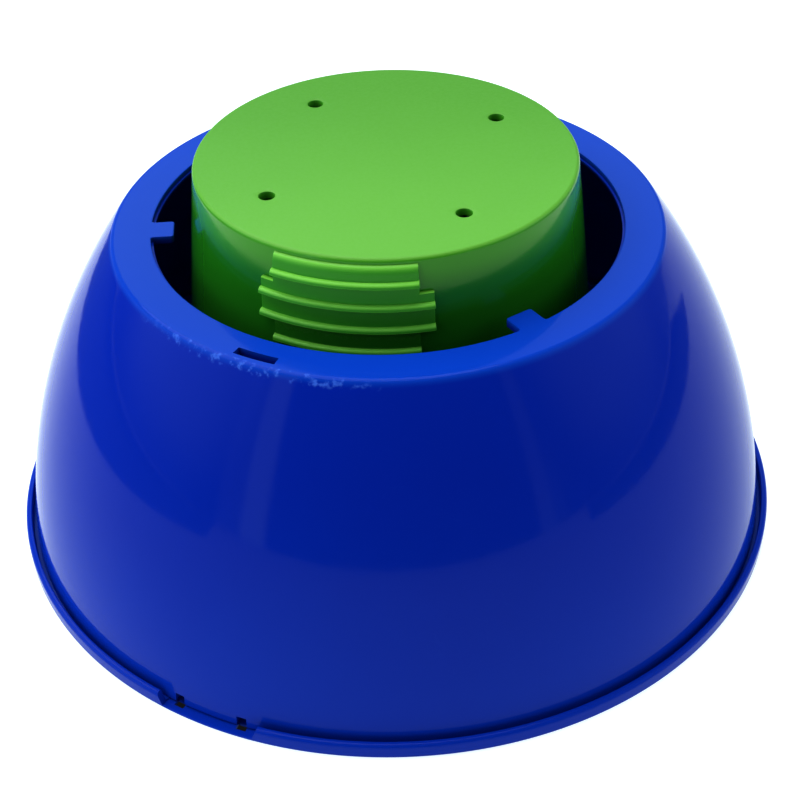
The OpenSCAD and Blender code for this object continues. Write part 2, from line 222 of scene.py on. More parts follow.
def bluePlastic():
    # deep gloss blue, paler towards the foot with a slow drift, painted bounce light from the floor: fine uneven
    # gloss, hairline scratches, a paler rim top, painted overhead light, and small pale marks on the rim's outer edge
    # beside the slots, partly chips and partly a painted highlight
    look = blueLook
    finish, tree, shader, spot = newFinish("blue_plastic")
    axes = put(tree, "ShaderNodeSeparateXYZ", {0: spot})
    drift = maths(tree, "MULTIPLY", maths(tree, "SUBTRACT", noise(tree, spot, 16.0, 3.0), 0.5), 0.04)
    # paler towards the foot: painted bounce light from the floor below
    paler = ramp(tree, maths(tree, "ADD", axes.outputs[2], drift), 0.0, look["paintedBounceHeight"], 1.0, 0.0)
    colour = blendColour(tree, paler, look["deep"], look["light"])
    grain = noise(tree, spot, 420.0, 4.0)
    rough = ramp(tree, grain, 0.3, 0.75, *look["rough"])
    lines = [noise(tree, spot, 90.0, 1.0, stretch) for stretch in ((9.0, 0.5, 0.7), (0.6, 8.0, 0.5))]
    ridges = [ramp(tree, maths(tree, "ABSOLUTE", maths(tree, "SUBTRACT", line, 0.5)), 0.0, 0.006, 1.0, 0.0)
              for line in lines]
    patches = ramp(tree, noise(tree, spot, 22.0, 2.0), 0.54, 0.68)
    scratch = maths(tree, "MULTIPLY", maths(tree, "MAXIMUM", *ridges), patches)
    flat = put(tree, "ShaderNodeCombineXYZ", {0: axes.outputs[0], 1: axes.outputs[1]}).outputs[0]
    reach = put(tree, "ShaderNodeVectorMath", {0: flat}, operation="LENGTH").outputs["Value"]
    toSlot = put(tree, "ShaderNodeVectorMath", {0: spot, 1: look["slotSide"]}, operation="DOT_PRODUCT")
    # the rim's flat top takes a paler blue: painted light where the upward face meets the overhead lamp
    paintedRimLight = ramp(tree, axes.outputs[2], *look["rimFlat"])
    colour = blendColour(tree, paintedRimLight, colour, look["rim"])
    # pale specks on the rim's outer edge beside the slots, partly chips and partly a painted highlight along the
    # rounded edge
    rimEdge = maths(tree, "MULTIPLY", ramp(tree, reach, *look["edgeReach"]),
                    ramp(tree, axes.outputs[2], *look["edgeHeight"]))
    speckWearAndGlint = ramp(tree, noise(tree, spot, 520.0, 5.0), 0.5, 0.72)
    zone = ramp(tree, maths(tree, "ABSOLUTE", toSlot.outputs["Value"]), *look["slotZone"])
    paleWearAndGlint = maths(tree, "MULTIPLY", maths(tree, "MULTIPLY", speckWearAndGlint, zone), rimEdge)
    marks = maths(tree, "MAXIMUM", paleWearAndGlint, maths(tree, "MULTIPLY", scratch, look["scratched"]))
    colour = blendColour(tree, marks, colour, look["paleWearAndGlint"])
    rough = maths(tree, "ADD", rough, maths(tree, "MULTIPLY", marks, look["scuffRough"]))
    peel = noise(tree, spot, 120.0, 2.0)
    height = maths(tree, "SUBTRACT", peel, maths(tree, "MULTIPLY", marks, 0.4))
    bump = put(tree, "ShaderNodeBump", {"Height": height, "Strength": look["ripple"], "Distance": 0.001}).outputs[0]
    link(tree, shader, Base_Color=colour, Roughness=rough, Normal=bump)
    shader.inputs["Specular IOR Level"].default_value = look["specular"]
    return finish


greenLook = {"pad": (0.048, 0.30, 0.016, 1), "padTop": (0.215, 0.58, 0.066, 1),
             "side": (0.017, 0.180, 0.008, 1), "high": (0.060, 0.300, 0.014, 1),
             "top": (0.140, 0.392, 0.037, 1), "shade": (0.088, 0.290, 0.014, 1),
             "sideRough": (0.08, 0.15), "topRough": (0.36, 0.46), "specular": 0.24, "satin": 0.08,
             "topBand": (0.0009, 0.0002), "paintedLightBand": (0.012, 0.003), "padOut": (0.0003, 0.0008),
             "facing": (0.25, 0.85), "shadeReach": 0.055}  # bands and reaches in metres


def greenPlastic():
    # gloss green side, paler towards its upper edge as painted light; faces that look up are painted paler as
    # overhead light, the top darker towards the back as painted shade, the pads painted lighter than the side; the
    # top and the grip pads, which stand out from the side, are satin with a fine spark grain
    look = greenLook
    finish, tree, shader, spot = newFinish("green_plastic")
    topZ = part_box("lure_cup")[1].z
    axes = put(tree, "ShaderNodeSeparateXYZ", {0: spot}).outputs
    facing = put(tree, "ShaderNodeSeparateXYZ", {0: put(tree, "ShaderNodeTexCoord").outputs["Normal"]}).outputs[2]
    onTop = ramp(tree, axes[2], *(topZ - depth for depth in look["topBand"]))
    flat = put(tree, "ShaderNodeCombineXYZ", {0: axes[0], 1: axes[1]}).outputs[0]
    reach = put(tree, "ShaderNodeVectorMath", {0: flat}, operation="LENGTH").outputs["Value"]
    slope = math.tan(math.radians(cup["draft"]))
    side = maths(tree, "MULTIPLY_ADD", axes[2], -slope, cup["radius"] * mm + topZ * slope)
    onPad = ramp(tree, maths(tree, "SUBTRACT", reach, side), *look["padOut"])
    satin = maths(tree, "MAXIMUM", onTop, onPad)
    cloud = maths(tree, "MULTIPLY", maths(tree, "SUBTRACT", noise(tree, spot, 26.0, 3.0), 0.5), 0.02)
    # the top is painted darker towards the back and paler towards the front: painted shade and painted light
    paintedFrontLight = ramp(tree, maths(tree, "ADD", axes[1], cloud), -look["shadeReach"], look["shadeReach"], 1.0, 0.0)
    top = blendColour(tree, onPad, blendColour(tree, paintedFrontLight, look["shade"], look["top"]), look["padTop"])
    # the side's upper band is painted paler: painted light
    paintedUpperLight = ramp(tree, axes[2], *(topZ - depth for depth in look["paintedLightBand"]))
    # the pads' colours are painted lighter than the side's: painted light that the pads catch
    upright = blendColour(tree, onPad, blendColour(tree, paintedUpperLight, look["side"], look["high"]), look["pad"])
    # faces that look up take the paler colours: painted overhead light, lit and shaded copies of one green
    colour = blendColour(tree, ramp(tree, facing, *look["facing"]), upright, top)
    grain = noise(tree, spot, 900.0, 3.0)
    gloss = ramp(tree, noise(tree, spot, 300.0, 3.0), 0.3, 0.75, *look["sideRough"])
    matt = ramp(tree, grain, 0.3, 0.7, *look["topRough"])
    rough = put(tree, "ShaderNodeMix", {0: satin, 2: gloss, 3: matt}).outputs[0]
    strength = maths(tree, "ADD", maths(tree, "MULTIPLY", satin, look["satin"]), 0.008)
    bump = put(tree, "ShaderNodeBump", {"Height": grain, "Strength": strength, "Distance": 0.0004}).outputs[0]
    link(tree, shader, Base_Color=colour, Roughness=rough, Normal=bump)
    shader.inputs["Specular IOR Level"].default_value = look["specular"]
    return finish


whiteLook = {"clean": (0.78, 0.78, 0.73, 1), "aged": (0.70, 0.66, 0.54, 1), "rough": (0.34, 0.5)}


def whitePlastic():  # natural moulded plastic, a little yellowed in clouds, with a dull fine grain
    look = whiteLook
    finish, tree, shader, spot = newFinish("white_plastic")
    cloud = ramp(tree, noise(tree, spot, 60.0, 4.0), 0.4, 0.75)
    grain = noise(tree, spot, 1500.0, 3.0)
    bump = put(tree, "ShaderNodeBump", {"Height": grain, "Strength": 0.06, "Distance": 0.0003}).outputs[0]
    link(tree, shader, Base_Color=blendColour(tree, cloud, look["clean"], look["aged"]),
         Roughness=ramp(tree, grain, 0.3, 0.7, *look["rough"]), Normal=bump)
    return finish


steelLook = {"bright": (0.66, 0.66, 0.67, 1), "dull": (0.46, 0.46, 0.48, 1), "rough": (0.2, 0.42)}


def pinSteel():  # drawn wire: fine lines along the pin
    look = steelLook
    finish, tree, shader, spot = newFinish("pin_steel")
    lines = noise(tree, spot, 900.0, 3.0, (1.0, 1.0, 0.03))
    bump = put(tree, "ShaderNodeBump", {"Height": lines, "Strength": 0.15, "Distance": 0.0001}).outputs[0]
    link(tree, shader, Base_Color=blendColour(tree, lines, look["dull"], look["bright"]),
         Roughness=ramp(tree, lines, 0.3, 0.7, *look["rough"]), Normal=bump)
    shader.inputs["Metallic"].default_value = 1.0
    return finish


rubberLook = {"base": (0.30, 0.065, 0.04, 1), "bloom": (0.42, 0.16, 0.12, 1), "rough": (0.66, 0.86)}


def septumRubber():  # matt moulded rubber with a dusty bloom
    look = rubberLook
    finish, tree, shader, spot = newFinish("septum_rubber")
    bloom = ramp(tree, noise(tree, spot, 220.0, 5.0), 0.48, 0.72)
    grain = noise(tree, spot, 2200.0, 3.0)
    bump = put(tree, "ShaderNodeBump", {"Height": grain, "Strength": 0.2, "Distance": 0.0002}).outputs[0]
    link(tree, shader, Base_Color=blendColour(tree, bloom, look["base"], look["bloom"]),
         Roughness=ramp(tree, grain, 0.3, 0.7, *look["rough"]), Normal=bump)
    return finish


# Dome
dome = {"bulge": 7.2, "wall": 2.2, "footGap": 3.0, "rimRadius": 80.4, "rimThick": 2.6, "rimRound": 1.8,
        "mouthRadius": 69.1, "lineRadius": 71.2, "soft": 0.35, "ledge": 0.65, "ledgeDrop": 1.5,
        "tabFirst": -57.0, "tabCount": 3, "tabWidth": 8.4, "tabLength": 6.7, "tabRoot": 0.8, "tabCorner": 0.9,
        "slotLength": 12.4, "slotWidth": 2.8, "slotEdge": 2.3, "seam": -200.0, "step": 1.25}
recess = {"sides": (-117.5, 62.5), "length": 29.0, "lean": 1.6, "sink": 0.4, "windowWidth": 3.0,
          "windowHeight": 3.2, "windowPitch": 20.0, "drain": 1.0}


def domeArc():
    # circle through the rim's edge and the foot: radius (chord squared / 4 + bulge squared) / (2 bulge)
    d = dome
    foot, top = extent("dome_shell")[0][2], extent("dome_shell")[1][2]
    footRadius = extent("base_tray")[1][0] - d["footGap"]
    chordR, chordZ = footRadius - d["rimRadius"], foot - top
    chord = math.hypot(chordR, chordZ)
    arcRadius = (chord ** 2 / 4 + d["bulge"] ** 2) / (2 * d["bulge"])
    arcR = (d["rimRadius"] + footRadius) / 2 + chordZ / chord * (arcRadius - d["bulge"])
    arcZ = (top + foot) / 2 - chordR / chord * (arcRadius - d["bulge"])
    return footRadius, arcR, arcZ, arcRadius


def wallAt(z, inset=0.0):  # radius of the dome's wall at a height, taken in from its outside
    _, arcR, arcZ, arcRadius = domeArc()
    return arcR + np.sqrt((arcRadius - inset) ** 2 - (z - arcZ) ** 2)


def tabOutline(d):
    # a tab in plan, u along the mouth and v outward: root fillet, side, tip corner, and the same mirrored
    half, root, corner, mouth = d["tabWidth"] / 2, d["tabRoot"], d["tabCorner"], d["mouthRadius"]
    tip = mouth - d["tabLength"]
    rootV = math.sqrt((mouth - root) ** 2 - (half + root) ** 2)
    lead = math.degrees(math.atan2(rootV, -half - root))
    fillet = arc(-half - root, rootV, root, lead, 0, 7)
    bend = arc(corner - half, tip + corner, corner, 180, 270, 7)
    left = np.concatenate([fillet, np.linspace(fillet[-1], bend[0], 5)[1:-1], bend])
    right = left[::-1] * [-1, 1]
    outline = np.concatenate([left, np.linspace(left[-1], right[0], 6)[1:-1], right])
    return outline, math.degrees(math.atan2(half + root, rootV))


def mouthColumns(d, marks):
    # column angles, and the mouth's edge in plan: a circle with a tab's outline let in at each tab
    outline, half = tabOutline(d)
    middle = d["tabFirst"] + np.arange(d["tabCount"]) * 360 / d["tabCount"]
    even = columnAngles(d["seam"], d["step"], marks)
    away = np.abs((even[:, None] - middle[None] + 180) % 360 - 180)
    plain = even[(away > half + 0.2).all(1)]
    angle = (middle[:, None] + np.linspace(-half, half, len(outline))[None]).reshape(-1)
    a = np.radians(middle)[:, None, None]
    outward, along = np.concatenate([np.cos(a), np.sin(a)], 2), np.concatenate([-np.sin(a), np.cos(a)], 2)
    tabs = (outline[None, :, 1:] * outward + outline[None, :, :1] * along).reshape(-1, 2)
    circle = d["mouthRadius"] * np.stack([np.cos(np.radians(plain)), np.sin(np.radians(plain))], 1)
    angle = (np.concatenate([plain, angle]) - d["seam"]) % 360 + d["seam"]
    edge = np.concatenate([circle, tabs])
    order = np.argsort(angle)
    angle, edge = angle[order], edge[order]
    marks = (np.array(marks) - d["seam"]) % 360 + d["seam"]
    near = np.abs(angle[:, None] - marks[None]).min(0)
    both = np.sort(np.concatenate([angle, marks[near > 1e-6]]))
    wide = np.concatenate([angle[-1:] - 360, angle, angle[:1] + 360])
    round2 = np.concatenate([edge[-1:], edge, edge[:1]])
    return both, np.stack([np.interp(both, wide, round2[:, 0]), np.interp(both, wide, round2[:, 1])], 1)


def buildDome(finish):
    # closed section carried round the axis: rim, rounded edge, circle arc down to the foot, inner arc back up;
    # the last rows follow the mouth's edge in plan, moved by the softened edge and by a thin ledge below it
    d, k = dome, recess
    foot, top = extent("dome_shell")[0][2], extent("dome_shell")[1][2]
    footRadius, arcR, arcZ, arcRadius = domeArc()

    def lift(z, inset=0.0):  # angle on the arc at a height
        return math.degrees(math.asin((z - arcZ) / (arcRadius - inset)))

    under = top - d["rimThick"]
    slotOut = d["rimRadius"] - d["slotEdge"]
    slotIn = slotOut - d["slotWidth"]
    roundZ = top - d["rimRound"]
    roundR = wallAt(roundZ, d["rimRound"])
    tilt = lift(roundZ, d["rimRound"])
    windowZ = np.linspace(foot + k["windowHeight"], foot + 0.5, 4)
    above = windowZ[0] + 0.5
    flat = np.array([[d["lineRadius"], top], [slotIn, top], [slotOut, top], [roundR - 0.05, top]])
    crown = arc(roundR, roundZ, d["rimRound"], 90, tilt, 9)
    wall = arc(arcR, arcZ, arcRadius, tilt, lift(above), 52)[1:]
    lower = np.stack([wallAt(windowZ), windowZ], 1)
    sole = np.array([[wallAt(foot + 0.3), foot + 0.3], [wallAt(foot) - 0.3, foot],
                     [wallAt(foot, d["wall"]), foot]])
    inLower = np.stack([wallAt(windowZ, d["wall"]), windowZ], 1)[::-1]
    inner = arc(arcR, arcZ, arcRadius - d["wall"], lift(above, d["wall"]), lift(under, d["wall"]), 30)
    below = np.array([[slotOut, under], [slotIn, under], [d["lineRadius"], under]])
    profile = np.concatenate([flat, crown, wall, lower, sole, inLower, inner, below])
    windowRow = len(flat) + len(crown) + len(wall)
    windowRows = windowRow + np.arange(8 + len(sole))  # down the outside, under the foot and up the inside
    underSlot = len(profile) - np.array([2, 3])

    sides = np.array(k["sides"])
    slotHalf = math.degrees(d["slotLength"] / slotOut) / 2
    windowMid = math.degrees(math.asin(k["windowPitch"] / 2 / footRadius))
    windowHalf = math.degrees(math.asin(k["windowWidth"] / 2 / footRadius))
    slots = sides[:, None] + np.array([-slotHalf, slotHalf])
    windows = np.concatenate([sides - windowMid, sides + windowMid])[:, None]
    windows = windows + np.array([-windowHalf, windowHalf])
    angle, edge = mouthColumns(d, np.concatenate([slots, windows]).reshape(-1))

    ahead = np.roll(edge, -1, 0) - edge
    ahead /= np.linalg.norm(ahead, axis=1, keepdims=True)
    along = ahead + np.roll(ahead, 1, 0)
    along /= np.linalg.norm(along, axis=1, keepdims=True)
    inward = np.stack([along[:, 1], -along[:, 0]], 1)  # into the material, away from the mouth
    soft = d["soft"]
    ledgeZ = top - d["ledgeDrop"]
    insets = np.array([soft + 0.05, soft, 0, 0, 0, 0, 0, 0.3 * soft, soft, soft + 0.05])
    heights = np.array([under, under, under + soft, ledgeZ - 0.12, ledgeZ, ledgeZ,
                        top - soft, top - 0.3 * soft, top, top])
    ledge = np.array([1, 1, 1, 1, 0.8, 0, 0, 0, 0, 0]) * d["ledge"]
    # the ledge fades out where the edge leaves the mouth's circle for a tab
    offTab = np.clip((np.hypot(*edge.T) - d["mouthRadius"]) / 0.6 + 1.3, 0, 1)
    lipXy = edge[None] + (insets[:, None] - ledge[:, None] * offTab[None])[..., None] * inward[None]
    lip = np.concatenate([lipXy, np.broadcast_to(heights[:, None, None], lipXy.shape[:2] + (1,))], 2)
    points = np.concatenate([revolve(profile, angle), lip])
    index = gridIndex(points)
    keep = np.ones(index.shape, bool)
    walls, caps = [], []
    for first, last in np.abs(angle[None, None] - slots[..., None]).argmin(2):
        openCells(keep, [1, 2], first, last)
        openCells(keep, underSlot, first, last)
        walls.append(joinLoops([blockLoop(index, rows, first, last) for rows in ([1, 2], underSlot)]))
    for first, last in np.abs(angle[None, None] - windows[..., None]).argmin(2):
        openCells(keep, windowRows, first, last)
        head = index[windowRows[[0, -1]], first:last + 1]
        walls.append(np.stack([head[0, :-1], head[0, 1:], head[1, 1:], head[1, :-1]], 1))
        caps += [index[windowRows, last], index[windowRows[::-1], first]]
    quads = np.concatenate([gridQuads(index, keep)] + walls)
    return makePiece("dome_shell_look", points, quads, finish, "dome", caps)


# Lure cup
cup = {"radius": 55.2, "draft": 6.0, "wall": 2.2, "round": 1.2, "ventCount": 4, "ventDiameter": 4.6,
       "ventCircle": 78.0, "ventFirst": 32.0, "ventSoft": 0.3, "blockHalf": 3.6, "rings": (18.0, 49.0),
       "skirtRow": 70.0, "insideRow": 90.0, "insideRound": 0.8, "seam": -200.0, "step": 1.25}
pad = {"first": -102.5, "wide": 48.5, "narrow": 40.5, "drop": 1.6, "head": 4.1, "headRound": (1.8, 3.3),
       "pitch": 6.8, "count": 6, "fin": 1.4, "depth": 1.6, "shoulder": 2.6, "webLeast": 0.4, "out": 3.5,
       "draft": 2.4, "finRound": 1.15, "finSoft": 0.15, "endRound": 0.5}


def padRows(sideAt, top):
    # rows of a grip pad from top to bottom: height, radius on the pad, and whether the row is a wide one;
    # a head that rounds over comes first, each fin is a bar with a round upper edge, and the web
    # runs between the bars
    p = pad
    slope = math.tan(math.radians(p["draft"]))
    padTop = top - p["drop"]

    def isWide(i):
        return i % 3 > 0

    def faceAt(z):
        return sideAt(padTop) + p["out"] + (padTop - z) * slope

    def webAt(z):
        return max(faceAt(z) - p["depth"], sideAt(z) + p["webLeast"])

    across, down = p["headRound"]
    head = arc(0, 0, 1, 90, 0, 9) * [across, down] + [webAt(padTop) - across, padTop - down]
    rows = [(padTop, sideAt(padTop), False)] + [(h, r, False) for r, h in head]
    bend, soft = p["finRound"], p["finSoft"]
    for i in range(p["count"]):
        z = padTop - p["head"] - i * p["pitch"]
        foot = z - p["fin"]
        wide = isWide(i)
        if wide and not isWide(i - 1):
            ledge = z + p["shoulder"]
            rows += [(ledge, webAt(ledge), False), (ledge, webAt(ledge), True)]
        upper = arc(faceAt(z) - bend, z - bend, bend, 90, 0, 8)
        lower = arc(faceAt(foot) - soft, foot + soft, soft, 0, -90, 4)
        rows += [(z, webAt(z), wide)] + [(h, r, wide) for r, h in np.concatenate([upper, lower])]
        narrower = i + 1 < p["count"] and wide and not isWide(i + 1)
        follow = i + 1 if narrower else i
        rows.append((foot, webAt(foot), isWide(follow)))
    rows.append((foot, sideAt(foot), False))
    return rows


def buildCup(finish):
    # closed section: flat top, rounded edge, sloping side with the pads' rows, foot, and the inside back up;
    # a side point lies at wall + share * (pad - wall), where share eases from 1 to 0 at the pad's ends
    c, p = cup, pad
    foot, top = extent("lure_cup")[0][2], extent("lure_cup")[1][2]
    slope = math.tan(math.radians(c["draft"]))
    skin = c["wall"] / math.cos(math.radians(c["draft"]))

    def sideAt(z):
        return c["radius"] + (top - z) * slope

    under = top - c["wall"]
    ventRadius, circle = c["ventDiameter"] / 2, c["ventCircle"] / 2
    block = np.linspace(circle - c["blockHalf"], circle + c["blockHalf"], 8)
    roundR = c["radius"] - c["round"] * math.tan(math.radians(45 - c["draft"] / 2))
    nearRing, farRing = c["rings"]
    flat = np.concatenate([[0, nearRing], block, [farRing, roundR - 0.05]])
    crown = arc(roundR, top - c["round"], c["round"], 90, c["draft"], 7)
    rows = padRows(sideAt, top)
    padZ, padR, padWide = (np.array(column) for column in zip(*rows))
    low, inRow, bend = c["skirtRow"], c["insideRow"], c["insideRound"]
    skirt = np.array([[sideAt(low), low], [sideAt(foot + 0.5), foot + 0.5], [sideAt(foot) - 0.4, foot]])
    inside = np.array([[sideAt(foot) - skin + 0.4, foot], [sideAt(foot + 0.5) - skin, foot + 0.5],
                       [sideAt(inRow) - skin, inRow], [sideAt(under + 0.05) - skin, under - bend],
                       [sideAt(under) - skin - bend, under]])
    ceiling = np.concatenate([[farRing], block[::-1], [nearRing, 0]])
    ceiling = np.stack([ceiling, np.full(len(ceiling), under)], 1)
    side = np.stack([sideAt(padZ), padZ], 1)
    topRows = np.stack([flat, np.full(len(flat), top)], 1)
    profile = np.concatenate([topRows, crown, side, skirt, inside, ceiling])

    vents = c["ventFirst"] + np.arange(c["ventCount"]) * 360 / c["ventCount"]
    ventHalf = math.degrees(c["blockHalf"] / circle)
    fade = np.array([0.9, 0.45, 0.15, 0.0, -0.1]) * p["endRound"]
    ends = np.concatenate([p["wide"] / 2 - fade, p["narrow"] / 2 - fade])
    padMarks = (np.array([p["first"], p["first"] + 180])[:, None] + np.concatenate([ends, -ends])).reshape(-1)
    ventMarks = (vents[:, None] + np.linspace(-ventHalf, ventHalf, 10)).reshape(-1)
    angle = columnAngles(c["seam"], c["step"], np.concatenate([padMarks, ventMarks]))
    away = np.abs((angle - p["first"] + 90) % 180 - 90)
    share = [np.interp(away, p[kind] / 2 - fade, [1, 0.97, 0.85, 0.55, 0]) for kind in ("narrow", "wide")]
    share = np.stack(share)[padWide.astype(int)]

    points = revolve(profile, angle)
    start = len(topRows) + len(crown)
    radius = sideAt(padZ)[:, None] + share * (padR - sideAt(padZ))[:, None]
    a = np.radians(angle)[None]
    points[start:start + len(padZ), :, 0] = radius * np.cos(a)
    points[start:start + len(padZ), :, 1] = radius * np.sin(a)
    index = gridIndex(points)
    keep = np.ones(index.shape, bool)
    upper = 2 + np.arange(8)
    lower = len(profile) - 3 - np.arange(8)
    ringRise = np.array([0, -0.3 * c["ventSoft"], -c["ventSoft"], under - top])
    ringOut = np.array([c["ventSoft"], 0.3 * c["ventSoft"], 0, 0]) + ventRadius
    extra, walls = [], []
    for vent in vents:
        turns = (vent + np.array([-ventHalf, ventHalf]) - c["seam"]) % 360 + c["seam"]
        first, last = (np.abs(angle - turn).argmin() for turn in turns)
        openCells(keep, upper, first, last)
        openCells(keep, lower, first, last)
        border = blockLoop(index, upper, first, last)
        centre = circle * np.array([math.cos(math.radians(vent)), math.sin(math.radians(vent))])
        spoke = points.reshape(-1, 3)[border, :2] - centre
        spoke /= np.linalg.norm(spoke, axis=1, keepdims=True)
        rings = np.concatenate([centre + ringOut[:, None, None] * spoke[None],
                                np.broadcast_to((top + ringRise)[:, None, None], (4, len(border), 1))], 2)
        place = index.size + len(extra) * rings.shape[0] * rings.shape[1]
        ringIndex = place + np.arange(4 * len(border)).reshape(4, -1)
        walls.append(joinLoops([border, *ringIndex, blockLoop(index, lower, first, last)]))
        extra.append(rings.reshape(-1, 3))
    points = np.concatenate([points.reshape(-1, 3), *extra])
    quads = np.concatenate([gridQuads(index, keep)] + walls)
    return makePiece("lure_cup_look", points, quads, finish, "cup")


# Tray
tray = {"edge": 1.9, "edgeHeight": 3.5, "edgeRound": 1.2, "innerRound": 0.35, "footRound": 0.5, "panWall": 2.0,
        "panGap": 0.5, "nubGap": 0.3, "nubPlay": 0.3, "socketRadius": 43.5, "socketWall": 2.0, "socketHeight": 9.0,
        "fillet": 0.8, "panRound": 0.6, "socketRound": 0.5, "underRing": 60.0, "floorRing": 20.0,
        "seam": -200.0, "step": 1.25}


def buildTray(finish):
    # closed section carried round the axis: underside, outer face, upstanding edge, groove, pan wall with its
    # nubs, socket ring, middle; in a recess the edge's rows drop to the recess floor, a face closes each of its
    # leaning ends, where two columns stand at one angle, and two drain holes go through
    t, k = tray, recess
    outer, panTop = extent("base_tray")[1][0], extent("base_tray")[1][2]
    floorZ = extent("dome_shell")[0][2]
    edgeTop, recessZ, edgeIn = floorZ + t["edgeHeight"], floorZ - k["sink"], outer - t["edge"]
    panR = wallAt(panTop, dome["wall"]) - t["panGap"]
    panIn, f, e, i = panR - t["panWall"], t["fillet"], t["edgeRound"], t["innerRound"]
    windowTop = floorZ + k["windowHeight"]
    nubR = wallAt(windowTop, dome["wall"]) - t["nubGap"]
    nubLow, nubHigh = floorZ + t["nubPlay"] + 0.15, windowTop - t["nubPlay"]
    socketR, socketIn = t["socketRadius"], t["socketRadius"] - t["socketWall"]
    socketTop = floorZ + t["socketHeight"]
    b, s, p, q = t["footRound"], 0.25, t["panRound"], t["socketRound"]

    footR = wallAt(floorZ)
    drain = np.linspace(footR - dome["wall"] / 2, footR + k["drain"], 3)
    under = np.concatenate([[[0, 0], [t["underRing"], 0]], np.stack([drain, 0 * drain], 1), [[outer - b - 0.05, 0]],
                            arc(outer - b, b, b, -90, 0, 5), [[outer, recessZ - s]]])
    face = np.concatenate([[[outer, edgeTop - e - 0.05]], arc(outer - e, edgeTop - e, e, 0, 90, 8)])
    inner = np.concatenate([arc(edgeIn + i, edgeTop - i, i, 90, 180, 5), [[edgeIn, floorZ + s]]])
    groove = np.array([[edgeIn - s, floorZ], [drain[0], floorZ]])
    step = np.array([[footR - dome["wall"], floorZ]])
    nub = np.array([[panR, nubLow], [nubR, nubLow], [nubR, nubHigh - 0.5], [nubR - 0.5, nubHigh], [panR, nubHigh]])
    pan = np.concatenate([[[panR + 0.4, floorZ], [panR, floorZ + 0.4]], nub,
                          arc(panR - p, panTop - p, p, 0, 90, 6), arc(panIn + p, panTop - p, p, 90, 180, 6),
                          arc(panIn - f, floorZ + f, f, 0, -90, 6)])
    socket = np.concatenate([arc(socketR + s, floorZ + s, s, -90, -180, 4),
                             arc(socketR - q, socketTop - q, q, 0, 90, 5),
                             arc(socketIn + q, socketTop - q, q, 90, 180, 5),
                             arc(socketIn - f, floorZ + f, f, 0, -90, 6),
                             [[t["floorRing"], floorZ], [0, floorZ]]])
    plain = np.concatenate([under, face, inner, groove, step, pan, socket])
    cut = plain.copy()
    lipRow = len(under) - 1
    innerRow = lipRow + 1 + len(face)
    stepRow = innerRow + len(inner) + len(groove)
    cut[lipRow + 1:innerRow] = [outer - s, recessZ]
    cut[innerRow:innerRow + len(inner)] = [drain[2], recessZ]
    cut[stepRow - 2], cut[stepRow - 1] = [drain[1], recessZ], [drain[0], recessZ]
    cut[stepRow, 1] = recessZ

    sides = np.array(k["sides"])
    wide = math.degrees((k["length"] / 2 + k["lean"]) / outer)
    nubMid = math.degrees(math.asin(k["windowPitch"] / 2 / footR))
    nubHalf = math.degrees((k["windowWidth"] / 2 - t["nubPlay"]) / nubR)
    nubs = np.concatenate([sides - nubMid, sides + nubMid])
    drainHalf = math.degrees(math.asin(k["windowWidth"] / 2 / footR))
    halves = np.array([nubHalf, nubHalf + 0.04, drainHalf])
    marks = (nubs[:, None] + np.concatenate([-halves, halves])).reshape(-1)
    even = columnAngles(t["seam"], t["step"], marks)
    ends = ((sides[:, None] + np.array([-wide, wide]) - t["seam"]) % 360 + t["seam"]).reshape(-1)
    even = even[(np.abs(even[:, None] - ends[None]) > 1.0).all(1)]
    angle = np.sort(np.concatenate([even, ends, ends]))
    first = np.searchsorted(angle, ends)  # each end has a column on the edge and one on the recess floor
    left = np.tile([True, False], len(sides))
    away = np.abs((angle[:, None] - sides[None] + 180) % 360 - 180).min(1)
    isCut = away < wide - 1e-6
    isCut[first] = ~left
    isCut[first + 1] = left
    lean = np.zeros(len(angle))
    lean[first] = lean[first + 1] = np.where(left, 1.0, -1.0)

    section = np.where(isCut[None, :, None], cut[:, None], plain[:, None])
    nubAway = np.abs((angle[:, None] - nubs[None] + 180) % 360 - 180).min(1)
    nubRow = stepRow + 3
    section[nubRow + 1:nubRow + 4, nubAway > nubHalf + 1e-6, 0] = panR
    rise = section[..., 1].copy()
    rise[stepRow:] = floorZ
    slide = np.clip((edgeTop - rise) / (edgeTop - recessZ), 0, 1) * math.degrees(k["lean"] / outer)
    a = np.radians(angle[None] + lean[None] * slide)
    points = np.stack([section[..., 0] * np.cos(a), section[..., 0] * np.sin(a), section[..., 1]], -1)
    index = gridIndex(points)
    keep = np.ones(index.shape, bool)
    rows = np.arange(lipRow, stepRow + 1)
    keep[lipRow:stepRow, first] = False
    caps = [np.concatenate([index[rows, column + 1], index[rows[::-1], column]]) for column in first]
    walls, floorRows, underRows = [], [stepRow - 3, stepRow - 2, stepRow - 1], [4, 3, 2]
    for middle in (nubs - t["seam"]) % 360 + t["seam"]:
        start, end = (np.abs(angle - middle - turn).argmin() for turn in (-drainHalf, drainHalf))
        openCells(keep, floorRows, start, end)
        openCells(keep, underRows, start, end)
        walls.append(joinLoops([blockLoop(index, through, start, end) for through in (floorRows, underRows)]))
    quads = np.concatenate([gridQuads(index, keep)] + walls)
    return makePiece("base_tray_look", points, quads, finish, "base", caps)


